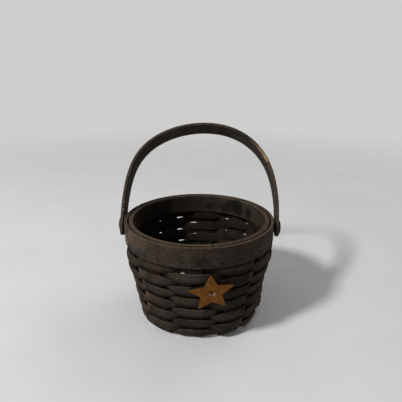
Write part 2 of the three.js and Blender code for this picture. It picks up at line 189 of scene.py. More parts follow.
class BasketWeaveSizes(bpy.types.PropertyGroup):
    """Sizes of the wall: its uprights and its rows"""

    foot_radius: length("Foot radius", "Middle of the uprights at the foot of the wall", 67.85 * MM)
    top_radius: length("Top radius", "Middle of the uprights at the rim", 78.45 * MM)
    corner: length("Corner", "Radius of the bend from the base to the wall", 10.3 * MM)
    belly: length("Belly", "How far the wall stands out under the rim bands", 3.5 * MM)
    belly_depth: length("Belly depth", "From the rim bands down to the belly's fullest", 17.2 * MM)
    belly_spread: length("Belly spread", "From the belly's fullest to where it ends", 30 * MM)
    splint_width: length("Upright width", "Width of the splints that make the uprights", 22 * MM)
    splint_thickness: length("Upright thickness", "Thickness of the uprights", 1.1 * MM)
    weaver_thickness: length("Weaver thickness", "Thickness of the weavers", 1.1 * MM)
    weaver_swell: length("Weaver swell", "How far a weaver stands taller at an upright", 1.6 * MM)
    weaver_crown: length("Weaver crown", "How far its middle stands proud of its edges", 0.7 * MM)
    weave_reach: length("Weave reach", "How far a weaver bows off the wall's middle", 2.1 * MM)
    first_row: length("First row", "Height of the lowest row's lower edge", 3.7 * MM)
    row_gap: length("Row gap", "Gap between rows where they cross", 0.3 * MM)
    unevenness: length("Unevenness", "How far the weavers' edges stray", 0.12 * MM)
    seed: IntProperty(name="Seed", description="Picks the run of the uneven edges", default=7)


class BasketRimSizes(bpy.types.PropertyGroup):
    """Sizes of the two rim bands"""

    outer_thickness: length("Outer band", "Thickness of the outer band", 3.15 * MM)
    inner_thickness: length("Inner band", "Thickness of the inner band", 4.5 * MM)
    seat: length("Seat", "From the uprights' middle to each band", 0.9 * MM)
    roundness: length("Roundness", "Radius of the bands' edges", 0.75 * MM)


class BasketHandleSizes(bpy.types.PropertyGroup):
    """Sizes of the swing handle and its pivots"""

    width: length("Width", "Width of the handle's strip", 20.7 * MM)
    thickness: length("Thickness", "Thickness of the handle's strip", 3.6 * MM)
    reach: length("Reach", "From the pivots to the top of the arch", 129.6 * MM)
    roundness: length("Roundness", "Radius of the handle's edges", 1.05 * MM)
    lean: FloatProperty(
        name="Lean",
        description="How far the handle leans back",
        default=math.radians(42.2),
        min=-math.pi,
        max=math.pi,
        subtype="ANGLE",
    )


class BasketStarSizes(bpy.types.PropertyGroup):
    """Sizes of the star and its nail"""

    reach: length("Reach", "From the star's middle to its tips", 23.6 * MM)
    inner: share("Inner share", "Reach of the inner corners as a share of the tips'", 0.485)
    thickness: length("Thickness", "Thickness of the star", 3.2 * MM)
    roundness: length("Roundness", "Radius of the star's edges", 0.55 * MM)


class BasketFinish(bpy.types.PropertyGroup):
    """Colours of the stains and paints"""

    weaver_stain: colour("Weaver stain", "Main colour of the weavers", (0.034, 0.0253, 0.0188))
    # The uprights' dark stain is partly painted shade for the hollows of the weave, where they show
    upright_stain_and_shade: colour("Upright stain", "Main colour of the uprights", (0.013, 0.0096, 0.0079))
    band_stain: colour("Band stain", "Main colour of the rim bands", (0.037, 0.0275, 0.0202))
    handle_stain: colour("Handle stain", "Main colour of the handle", (0.037, 0.029, 0.0225))
    # Bare wood, also used as a painted highlight on the lit left of the band and weave and on the
    # weavers' upper faces
    bare_wood_and_highlight: colour("Bare wood", "Worn edges where the stain is thin", (0.078, 0.054, 0.036))
    tan_wood: colour("Tan wood", "Bare scuffs on the handle", (0.26, 0.17, 0.09))
    # Dark stain, also used for the painted shadow of the rim on the inner band
    dark_stain_and_shade: colour("Dark stain", "Spilt dark stain on the bands", (0.0062, 0.0068, 0.0058))
    old_paint: colour("Old paint", "Blue grey traces on the wood", (0.022, 0.026, 0.0255))
    star_orange: colour("Star orange", "Main colour of the star", (0.122, 0.044, 0.0045))
    star_mustard: colour("Star mustard", "Rubbed tips of the star", (0.13, 0.058, 0.004))
    star_wood: colour("Star wood", "Bare wood where the star's paint is chipped", (0.34, 0.19, 0.13))
    pale_chip: colour("Pale chip", "Chips on the front upright", (0.6, 0.53, 0.54))
    nail_steel: colour("Nail steel", "Colour of nails and pins", (0.034, 0.026, 0.021))
    rust: colour("Rust", "Rust in the hollows of nails and pins", (0.06, 0.028, 0.016))
    floor_paper: colour("Floor", "Colour of the floor", (0.63, 0.63, 0.638))


def settings():
    """The basket's settings."""
    return bpy.context.scene.basket


class BasketSettings(bpy.types.PropertyGroup):
    """Everything that can be set on the basket"""

    weave: PointerProperty(type=BasketWeaveSizes)
    rim: PointerProperty(type=BasketRimSizes)
    handle: PointerProperty(type=BasketHandleSizes)
    star: PointerProperty(type=BasketStarSizes)
    finish: PointerProperty(type=BasketFinish)


# The wall


def wall_radius(height):
    """Radius of the middle of the uprights at a height. It runs straight between the bands."""
    sizes = settings().weave
    corner_top = sizes.splint_thickness / 2 + sizes.corner
    drop = np.clip(corner_top - height, 0, sizes.corner)
    bend = sizes.foot_radius - sizes.corner + np.sqrt(sizes.corner**2 - drop**2)
    between = np.clip((height - BAND_BOTTOM) / (RIM_HEIGHT - BAND_BOTTOM), 0, 1)
    foot_of_bands = woven_radius(np.float64(BAND_BOTTOM))
    straight = foot_of_bands + (sizes.top_radius - foot_of_bands) * between
    wall = np.where(height > BAND_BOTTOM, straight, woven_radius(height))
    return np.where(height < corner_top, bend, wall)


def woven_radius(height):
    """Radius of the middle of the uprights from the corner up to the bands."""
    sizes = settings().weave
    corner_top = sizes.splint_thickness / 2 + sizes.corner
    climb = np.clip((height - corner_top) / (RIM_HEIGHT - corner_top), 0, 1)
    slope = (sizes.top_radius - sizes.foot_radius) * (1 - (1 - climb) ** SPREAD)
    off_belly = np.abs(height - (BAND_BOTTOM - sizes.belly_depth)) / sizes.belly_spread
    belly = sizes.belly * np.cos(math.pi / 2 * np.clip(off_belly, 0, 1)) ** 2
    return sizes.foot_radius + slope + belly


def settled(points):
    """The foot of the wall isn't quite round, and the rows hang a little lower at the back."""
    heading = np.degrees(np.arctan2(points[..., 0], -points[..., 1]))
    stray = np.zeros_like(heading)
    marks = list(FOOT_STRAY)
    for start, end in zip(marks, marks[1:]):
        change = FOOT_STRAY[end] - FOOT_STRAY[start]
        blend = FOOT_STRAY[start] + change * smooth_step(start, end, heading)
        stray = np.where((heading >= start) & (heading <= end), blend, stray)
    height = points[..., 2].copy()
    low = 1 - smooth_step(*FOOT_FADE, height)
    points[..., :2] *= 1 + (stray * MM / settings().weave.foot_radius * low)[..., None]
    left, right = smooth_step(*BACK_LEFT, -heading), smooth_step(*BACK_RIGHT, heading)
    hanging = smooth_step(*DROP_COMES, height) * (1 - smooth_step(*DROP_GOES, height))
    points[..., 2] -= BACK_DROP * np.where(heading < 0, left, right) * hanging
    return points


def around(heading, radius, height):
    """Points at a heading, 0 at the front and growing to the right, a radius and a height."""
    heading, radius, height = np.broadcast_arrays(heading, radius, height)
    return np.stack([radius * np.sin(heading), -radius * np.cos(heading), height], -1)


def upright_headings():
    """Headings of the twelve uprights in order, in radians."""
    both = [math.radians(h + half) % TURN for h in SPLINT_HEADINGS for half in (0, 180)]
    return np.array(sorted(both))


def front_parity():
    """Whether the front upright is an even or an odd one in that order."""
    front = math.radians(SPLINT_HEADINGS[FRONT_SPLINT]) % TURN
    return int(np.argmin(np.abs(upright_headings() - front))) % 2


def ripple(heading, seed, slowest, fastest, reach):
    """A smooth uneven run round a hoop, the same each time for one seed."""
    draw = np.random.default_rng(seed)
    count = fastest - slowest + 1
    total = np.zeros_like(heading)
    for wave in range(slowest, fastest + 1):
        total += draw.normal() * np.cos(wave * heading + draw.uniform(0, TURN))
    return reach * total / math.sqrt(count)


def smooth_step(low, high, value):
    """A share that goes softly from 0 at low to 1 at high."""
    t = np.clip((value - low) / (high - low), 0, 1)
    return t * t * (3 - 2 * t)


def row_pitch():
    """Height from one row to the next."""
    sizes = settings().weave
    return (BAND_BOTTOM - sizes.row_gap - sizes.first_row) / ROW_COUNT


def row_middle(row):
    """Height of a row's middle line."""
    sizes = settings().weave
    return sizes.first_row + row * row_pitch() + (row_pitch() - sizes.row_gap) / 2


def weave_sides(heading, row):
    """How far out a row is at each heading, from 1 outside an upright to -1 inside one."""
    edge = settings().weave.splint_width / 2 + EDGE_MARGIN
    headings = upright_headings()
    radius = float(wall_radius(row_middle(row)))
    turn = np.mod(heading, TURN)
    after = np.searchsorted(headings, turn) % len(headings)
    before = (after - 1) % len(headings)
    gap = np.mod(headings[after] - headings[before], TURN) * radius
    from_before = np.mod(turn - headings[before], TURN) * radius
    nearer = np.where(from_before <= gap / 2, before, after)
    distance = np.minimum(from_before, gap - from_before)
    power = math.log(EDGE_SWING) / np.log(edge / (gap / 2))
    side = np.where((row + nearer) % 2 == front_parity(), 1.0, -1.0)
    return side * np.cos(math.pi / 2 * (distance / (gap / 2)) ** power)


def slit_share(heading, lower_row):
    """How much the edges of two rows draw back from each other at each heading."""
    radius = float(wall_radius(row_middle(lower_row)))
    fade = 1 * MM
    total = np.zeros_like(heading)
    for place, row, half, opening in SLITS:
        if row == lower_row:
            off = (np.mod(heading - math.radians(place) + math.pi, TURN) - math.pi) * radius
            total += opening * (1 - smooth_step(half * MM - fade, half * MM + fade, np.abs(off)))
    return total


# Meshes


def quarter(steps):
    """Angles of a quarter turn in equal steps, with both ends."""
    return [math.pi / 2 * step / steps for step in range(steps + 1)]


def strip_section(face_steps, corner_steps, width, thickness, roundness):
    """Places round a strip's sections: first their share across, their share through and the way
    their corner points, then how far across and through they lie at each station.
    """
    flats = [2 * step / face_steps - 1 for step in range(face_steps + 1)]
    turns = quarter(corner_steps)[1:-1]
    rows = []
    for face in (1, -1):
        rows += [(flat * face, face, 0, face) for flat in flats]
        rows += [(face, face, face * math.sin(turn), face * math.cos(turn)) for turn in turns]
        rows += [(face, face, face, 0), (face, -face, face, 0)]
        rows += [(face, -face, face * math.cos(turn), -face * math.sin(turn)) for turn in turns]
    section = np.array(rows, float)
    width, thickness = np.atleast_1d(width)[:, None], np.atleast_1d(thickness)[:, None]
    rounding = np.minimum(roundness, np.minimum(width, thickness) * 0.45)
    across = section[:, 0] * (width / 2 - rounding) + section[:, 2] * rounding
    through = section[:, 1] * (thickness / 2 - rounding) + section[:, 3] * rounding
    return section, across, through


def run_along(points):
    """Distance along a line of points."""
    steps = np.linalg.norm(np.diff(points, axis=0), axis=1)
    return np.concatenate([[0], np.cumsum(steps)])


def grid(rings, count, spans):
    """Four-sided faces from each ring of places to the next one, and to the first after the last."""
    here, place = np.arange(spans)[:, None], np.arange(count)[None, :]
    after, beside = (here + 1) % rings * count, (place + 1) % count
    here = here * count
    faces = np.stack([here + place, here + beside, after + beside, after + place], -1)
    return faces.reshape(-1, 4).tolist()


def strip_piece(name, points, along, section, wear, seed, closed=False):
    """A strip from its sections, with where the grain runs, where it wears and where shade and light
    are painted on it.
    """
    stations, count = points.shape[:2]
    spans = stations if closed else stations - 1
    faces = grid(stations, count, spans)
    round_section = run_along(np.stack([np.append(side, side[0]) for side in section], -1))
    start, end = along[:spans, None], along[1 : spans + 1, None]
    near, far = round_section[None, :-1], round_section[None, 1:]
    corners = (spans, count, 4)
    grain_along = np.broadcast_to(np.stack([start, start, end, end], -1), corners).ravel()
    grain_round = np.broadcast_to(np.stack([near, far, far, near], -1), corners).ravel()
    if not closed:
        faces.append(list(range(count)))
        faces.append(list(range((stations - 1) * count, stations * count))[::-1])
        ends = [np.full(count, along[0]), np.full(count, along[-1])]
        grain_along = np.concatenate([grain_along, *ends])
        grain_round = np.concatenate([grain_round, round_section[:-1], round_section[:-1][::-1]])
    grain = np.stack([grain_along, grain_round, np.full(len(grain_along), float(seed))], -1)
    wear = np.broadcast_to(wear, (stations, count))
    return wooden(name, points.reshape(-1, 3), faces, "CORNER", grain, wear)


def wooden(name, points, faces, domain, grain, wear, place=None):
    """A smooth mesh that holds where its grain runs, where it's worn and where shade and light are
    painted on it, put in the scene.
    """
    mesh = bpy.data.meshes.new(name)
    mesh.from_pydata(np.asarray(points).tolist(), [], faces)
    runs = mesh.attributes.new("grain", "FLOAT_VECTOR", domain)
    runs.data.foreach_set("vector", np.asarray(grain, np.float32).ravel())
    edge_wear_and_painted_light = mesh.attributes.new("wear", "FLOAT", "POINT")
    edge_wear_and_painted_light.data.foreach_set("value", np.asarray(wear, np.float32).ravel())
    if place is not None:
        mesh.transform(place)
    shape = bmesh.new()
    shape.from_mesh(mesh)
    bmesh.ops.recalc_face_normals(shape, faces=shape.faces)
    shape.to_mesh(mesh)
    shape.free()
    mesh.shade_smooth()
    return in_scene(name, mesh)


def in_scene(name, data):
    """A new object in the scene."""
    thing = bpy.data.objects.new(name, data)
    bpy.context.scene.collection.objects.link(thing)
    return thing


def off_line(line, through):
    """Both coordinates of places that far off a line in a plane, at right angles to it."""
    tangent = np.gradient(line, axis=0)
    tangent /= np.linalg.norm(tangent, axis=1)[:, None]
    normal = np.stack([tangent[:, 1], -tangent[:, 0]], -1)
    places = line[:, None] + through[..., None] * normal[:, None]
    return places[..., 0], places[..., 1]


def lathe(profile, steps):
    """Points of a profile, radius and place along the axis, turned round the x axis."""
    turn = np.linspace(0, TURN, steps, endpoint=False)[:, None]
    along = np.broadcast_to(profile[:, 1], (steps, len(profile)))
    return np.stack([along, profile[:, 0] * np.cos(turn), profile[:, 0] * np.sin(turn)], -1)


def turned_piece(name, profile, wear, steps, place, seed):
    """A solid piece turned on a lathe, from one end of the axis to the other."""
    profile, wear = np.array(profile, float), np.array(wear, float)
    points = lathe(profile[1:-1], steps).reshape(-1, 3)
    points = np.concatenate([points, [[profile[0, 1], 0, 0], [profile[-1, 1], 0, 0]]])
    start, end = len(points) - 2, len(points) - 1
    count = len(profile) - 2
    faces = []
    for step in range(steps):
        here, after = step * count, (step + 1) % steps * count
        faces += [[here + j, here + j + 1, after + j + 1, after + j] for j in range(count - 1)]
        faces += [[start, here, after], [end, after + count - 1, here + count - 1]]
    grain = np.stack([points[:, 2], points[:, 1], np.full(len(points), float(seed))], -1)
    wear = np.concatenate([np.tile(wear[1:-1], steps), wear[[0, -1]]])
    return wooden(name, points, faces, "POINT", grain, wear, place)


def dress(piece, body, slot, material, *nodes):
    """Gives a piece its material and puts it in the place of its plain solid."""
    piece.data.materials.clear()
    piece.data.materials.append(material)
    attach(piece, body)
    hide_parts(*nodes)


# Materials


class Nodes:
    """Adds nodes to a tree and links them up."""

    def __init__(self, tree):
        self.tree = tree

    def put(self, socket, value):
        """Links a socket to another one, or sets it to a plain value."""
        if isinstance(value, bpy.types.NodeSocket):
            self.tree.links.new(value, socket)
        elif value is not None:
            if socket.type == "RGBA" and len(value) == 3:
                value = (*value, 1)
            socket.default_value = value

    def node(self, kind, output, inputs, **choices):
        """The output of a new node, with its choices and inputs set."""
        node = self.tree.nodes.new("ShaderNode" + kind)
        for name, value in choices.items():
            setattr(node, name, value)
        for name, value in inputs.items():
            self.put(node.inputs[name], value)
        return node.outputs[output]

    def attribute(self, name, output):
        return self.node("Attribute", output, {}, attribute_name=name)

    def place(self):
        return self.node("TexCoord", "Object", {})

    def scaled(self, vector, scale):
        return self.node("Mapping", "Vector", {"Vector": vector, "Scale": scale})

    def noise(self, vector, scale, detail=3.0, roughness=0.55, distortion=0.0):
        """Soft noise. Three scales instead of one stretch it."""
        if isinstance(scale, tuple):
            vector, scale = self.scaled(vector, scale), 1.0
        inputs = {"Vector": vector, "Scale": scale, "Detail": detail}
        inputs |= {"Roughness": roughness, "Distortion": distortion}
        return self.node("TexNoise", "Fac", inputs)

    def band(self, value, low, high, to_low=0.0, to_high=1.0):
        inputs = {"Value": value, "From Min": low, "From Max": high}
        inputs |= {"To Min": to_low, "To Max": to_high}
        return self.node("MapRange", "Result", inputs, interpolation_type="SMOOTHSTEP")

    def reckon(self, operation, first, second):
        return self.node("Math", "Value", {0: first, 1: second}, operation=operation)

    def measure(self, operation, vector, other=None):
        return self.node("VectorMath", "Value", {0: vector, 1: other}, operation=operation)

    def mix(self, share, first, second):
        inputs = {"Factor": share, "A": first, "B": second}
        return self.node("Mix", "Result", inputs, data_type="RGBA")

    def coats(self, colour, coats):
        """Lays coats on a colour: a value, from and to where it counts, its shares there, a tone."""
        for value, low, high, to_low, to_high, coat in coats:
            colour = self.mix(self.band(value, low, high, to_low, to_high), colour, coat)
        return colour

    def bump(self, height, distance, strength=1.0, under=None):
        inputs = {"Strength": strength, "Distance": distance, "Height": height, "Normal": under}
        return self.node("Bump", "Normal", inputs)


class Finish(Nodes):
    """A new material with its shader."""

    def __init__(self, name):
        self.material = bpy.data.materials.new(name)
        self.material.use_nodes = True
        super().__init__(self.material.node_tree)
        self.shader = self.tree.nodes["Principled BSDF"]

    def surface(self, colour, roughness, relief=None, shine=0.5, metal=0.0):
        """Sets the shader and gives the material."""
        names = ("Base Color", "Roughness", "Normal", "Specular IOR Level", "Metallic")
        for name, value in zip(names, (colour, roughness, relief, shine, metal)):
            self.put(self.shader.inputs[name], value)
        return self.material


def shade(colour, factor):
    """A colour made lighter or darker."""
    return tuple(min(1.0, part * factor) for part in colour)


def tone(name, factor=1.0):
    """A colour from the settings, as it is or made lighter or darker."""
    return shade(getattr(settings().finish, name), factor)


def stained_wood(name, stain, paint_share=0.5, wear_and_light_share=0.6, blots_and_painted_light=(), length_patches=0.0):
    """Splint wood under an old dark stain: long grain, pores, blotches, traces of paint and wear,
    with painted shade where the wear value runs below 0 and painted highlights among its rubbed
    places and blots.
    """
    finish = Finish(name)
    grain, wear = finish.attribute("grain", "Vector"), finish.attribute("wear", "Fac")
    place = finish.place()
    upright = finish.scaled(place, (1, 1, 1.5))
    streaks = finish.noise(grain, (22, 900, 3), 4.0, 0.6)
    rings = finish.noise(grain, (6, 190, 3), 2.0, 0.5, 0.6)
    pores = finish.noise(grain, (300, 4200, 3), 2.0, 0.5)
    blotches = finish.noise(place, 75, 4.0, 0.6)
    hue = finish.noise(place, 95, 3.0, 0.6)
    mottle = finish.noise(upright, 290, 5.0, 0.7)
    patches = finish.noise(upright, 36, 2.0, 0.5, 0.4)
    dust = finish.noise(place, 1500, 2.0, 0.7)
    # Bare wood on rubbed edges; on the weavers' upper faces it is also a painted highlight
    rubbed_and_lit = finish.band(finish.noise(place, 190, 3.0), 0.3, 0.62, 0.45, 1.0)
    rubbed_and_lit = finish.reckon("MULTIPLY", wear, rubbed_and_lit)
    greener = (stain[0] * 0.86, stain[1] * 1.03, stain[2] * 0.8)
    redder = (stain[0] * 1.34, stain[1] * 1.01, stain[2] * 1.13)
    coats = [
        (streaks, 0.35, 0.75, 0.0, 0.55, shade(stain, 0.5)),
        (blotches, 0.42, 0.7, 0.0, 0.45, shade(stain, 1.75)),
        (hue, 0.31, 0.47, 0.85, 0.0, greener),
        (hue, 0.53, 0.68, 0.0, 0.85, redder),
    ]
    if length_patches:
        lengths = finish.noise(grain, (26, 0, 7), 2.0, 0.5)
        coats += [
            (lengths, 0.5, 0.68, 0.0, length_patches, shade(stain, 0.3)),
            (lengths, 0.28, 0.45, 0.45, 0.0, shade(stain, 1.5)),
        ]
    coats += [
        (mottle, 0.35, 0.52, 0.8, 0.0, shade(stain, 0.32)),
        (mottle, 0.53, 0.72, 0.0, 0.62, shade(stain, 2.1)),
        (patches, 0.575, 0.64, 0.0, paint_share, tone("old_paint")),
        (dust, 0.5, 0.78, 0.0, 0.4, shade(stain, 2.4)),
        (pores, 0.55, 0.7, 0.0, 0.45, shade(stain, 0.3)),
        (rubbed_and_lit, 0.25, 0.95, 0.0, wear_and_light_share, tone("bare_wood_and_highlight")),
    ]
    colour = finish.mix(finish.band(rings, 0.3, 0.7), shade(stain, 0.78), shade(stain, 1.16))
    colour = finish.coats(colour, coats)
    # Stains, rubs, painted shade and painted highlights round given points
    for spot, reach, blot, strength in blots_and_painted_light:
        colour = finish.mix(ragged_patch(finish, place, spot, reach, strength), colour, blot)
    # Painted shade: where the wear value is below 0 the wood goes down to a fifth of its stain
    colour = finish.mix(finish.band(wear, -1, -0.02, 0.9, 0.0), colour, shade(stain, 0.2))
    relief = finish.bump(streaks, 0.12 * MM, 0.8)
    relief = finish.bump(mottle, 0.16 * MM, 0.8, relief)
    relief = finish.bump(pores, 0.05 * MM, 0.7, relief)
    return finish.surface(colour, finish.band(blotches, 0.3, 0.7, 0.85, 0.68), relief, 0.05)


def ragged_patch(finish, place, spot, reach, strength):
    """A place round a point with a ragged edge, for a stain, a rub, painted shade and painted
    highlights alike.
    """
    ragged = finish.reckon("MULTIPLY", finish.noise(place, 420, 3.0, 0.65), reach)
    near = finish.reckon("SUBTRACT", finish.measure("DISTANCE", place, spot), ragged)
    return finish.band(near, 0.1 * reach, 0.7 * reach, strength, 0.0)


def blots_on(places, face, blots):
    """Stains, painted shade and painted highlights on a face of the wall, as ragged patches for its
    wood.
    """
    blots_and_painted_light = []
    for blot, *spots in places:
        for heading, height, reach, strength in spots:
            out = float(wall_radius(height * MM)) + face
            spot = tuple(around(math.radians(heading), out, height * MM))
            blots_and_painted_light.append((spot, reach * MM, blots[blot], strength))
    return blots_and_painted_light


def star_paint():
    """Orange paint, rubbed to mustard at the tips and chipped round the nail, with its sides painted
    nearly black as shade and a painted shadow above the nail.
    """
    sizes = settings().star
    orange = tone("star_orange")
    finish = Finish("star_paint")
    grain, wear = finish.attribute("grain", "Vector"), finish.attribute("wear", "Fac")
    brushed = finish.noise(grain, (60, 700, 1), 3.0)
    cloud = finish.noise(grain, 210, 4.0, 0.65)
    fine = finish.noise(grain, 900, 4.0, 0.7)
    out = finish.measure("LENGTH", grain)
    coats = [
        (out, 0.5 * sizes.reach, 0.95 * sizes.reach, 0.0, 0.75, tone("star_mustard")),
        (brushed, 0.55, 0.8, 0.0, 0.35, shade(orange, 0.6)),
        (fine, 0.5, 0.7, 0.0, 0.5, shade(orange, 0.62)),
        (fine, 0.3, 0.45, 0.4, 0.0, shade(orange, 1.45)),
        # Painted shade: the star's back and sides go nearly black
        (wear, 0.45, 0.9, 0.0, 1.0, shade(orange, 0.07)),
    ]
    # Chips down to the wood, and one painted shadow above the nail
    for across, up, factor in STAR_CHIPS_AND_SHADOW:
        chip = tone("star_wood") if factor is None else shade(orange, factor)
        near = finish.measure("DISTANCE", grain, (across * MM, up * MM, sizes.thickness))
        ragged = finish.reckon("MULTIPLY", finish.noise(grain, 800, 3.0, 0.7), 2.1 * MM)
        coats.append((finish.reckon("SUBTRACT", near, ragged), 0, 0.5 * MM, 0.85, 0.0, chip))
    colour = finish.mix(finish.band(cloud, 0.35, 0.65), shade(orange, 0.78), shade(orange, 1.45))
    colour = finish.coats(colour, coats)
    relief = finish.bump(brushed, 0.08 * MM, 0.7)
    return finish.surface(colour, finish.band(cloud, 0.3, 0.7, 0.5, 0.62), relief, 0.1)


def nail_steel():
    """Dull steel with brown rust in its hollows."""
    finish = Finish("nail_steel")
    rust = finish.noise(finish.place(), 900, 3.0, 0.6)
    colour = finish.mix(finish.band(rust, 0.32, 0.55), tone("nail_steel"), tone("rust"))
    roughness, metal = finish.band(rust, 0.35, 0.65, 0.5, 0.8), finish.band(rust, 0.42, 0.6, 0.4, 0.1)
    return finish.surface(colour, roughness, finish.bump(rust, 0.06 * MM, 0.6), metal=metal)


# Pieces


class BASKET_OT_uprights(bpy.types.Operator):
    """Make the six long splints that cross under the base and stand up as twelve uprights"""

    bl_idname = "basket.uprights"
    bl_label = "Uprights"

    gap = 0.2 * MM
    landing = 0.9
    edge_radius = 0.32 * MM
    narrower = 0.25 * MM
    stray = 0.12 * MM

    def execute(self, context):
        chips = blots_on(CHIPS, settings().weave.splint_thickness / 2, {"chip": tone("pale_chip")})
        # The uprights' dark stain also paints the shade in the hollows of the weave
        wood = stained_wood("splint_wood", tone("upright_stain_and_shade"), 0.5, 0.25, chips)
        for layer, heading in enumerate(SPLINT_HEADINGS):
            piece = self.splint(f"upright_splint_{layer + 1}", layer, math.radians(heading))
            dress(piece, "basket", "splint_wood", wood, f"splint_{layer + 1}")
        return {"FINISHED"}

    def half_path(self, layer):
        """Outward distance, height and roundness of the strip's middle, from the base to the rim."""
        sizes = settings().weave
        half = sizes.splint_thickness / 2
        headings = upright_headings()
        closest = float(np.min(np.mod(np.roll(headings, -1) - headings, TURN)))
        crossing = (sizes.splint_width / 2 + self.gap) / math.tan(closest / 2)
        flat = sizes.foot_radius - sizes.corner
        landing = crossing + (flat - crossing) * self.landing
        pile = half + layer * (sizes.splint_thickness + self.gap)
        path = [(crossing * step / 4, pile, 0) for step in range(5)]
        for step in range(1, 9):
            drop = smooth_step(0, 8, step)
            path.append((crossing + (landing - crossing) * step / 8, pile + (half - pile) * drop, 0))
        path += [(landing + (flat - landing) * step / 4, half, 0) for step in range(1, 4)]
        for step, turn in enumerate(quarter(10)):
            out = flat + sizes.corner * math.sin(turn)
            path.append((out, half + sizes.corner * (1 - math.cos(turn)), min(step / 5, 1)))
        top = half + sizes.corner
        heights = [top + (RIM_HEIGHT - top) * step / 40 for step in range(1, 41)]
        path += [(float(wall_radius(height)), height, 1) for height in heights]
        return np.array(path)

    def splint(self, name, layer, heading):
        """One splint, from the rim on one side under the base to the rim on the other."""
        sizes = settings().weave
        half = self.half_path(layer)
        path = np.concatenate([half[1:][::-1] * (-1, 1, 1), half])
        line, roundness = path[:, :2], path[:, 2:3]
        along = run_along(line)
        stray = ripple(along / along[-1] * TURN, sizes.seed + layer, 3, 12, self.stray)
        width = sizes.splint_width - self.narrower + stray
        shape = (width, sizes.splint_thickness, self.edge_radius)
        section, across, through = strip_section(8, 2, *shape)
        out, height = off_line(line, through)
        radius = np.maximum(np.abs(out), 1 * MM)
        bend = across / radius
        depth = np.abs(out) - roundness * radius * (1 - np.cos(bend))
        sideways = across + roundness * (radius * np.sin(bend) - across)
        y = np.where(np.abs(line[:, 0:1]) < 1e-9, -out, -np.sign(line[:, 0:1]) * depth)
        turn = np.array(Matrix.Rotation(heading, 3, "Z"))
        points = settled(np.stack([sideways, y, height], -1) @ turn.T)
        wear = (section[:, 2] != 0).astype(float)
        return strip_piece(name, points, along, (across[0], through[0]), wear, layer * 3.7)


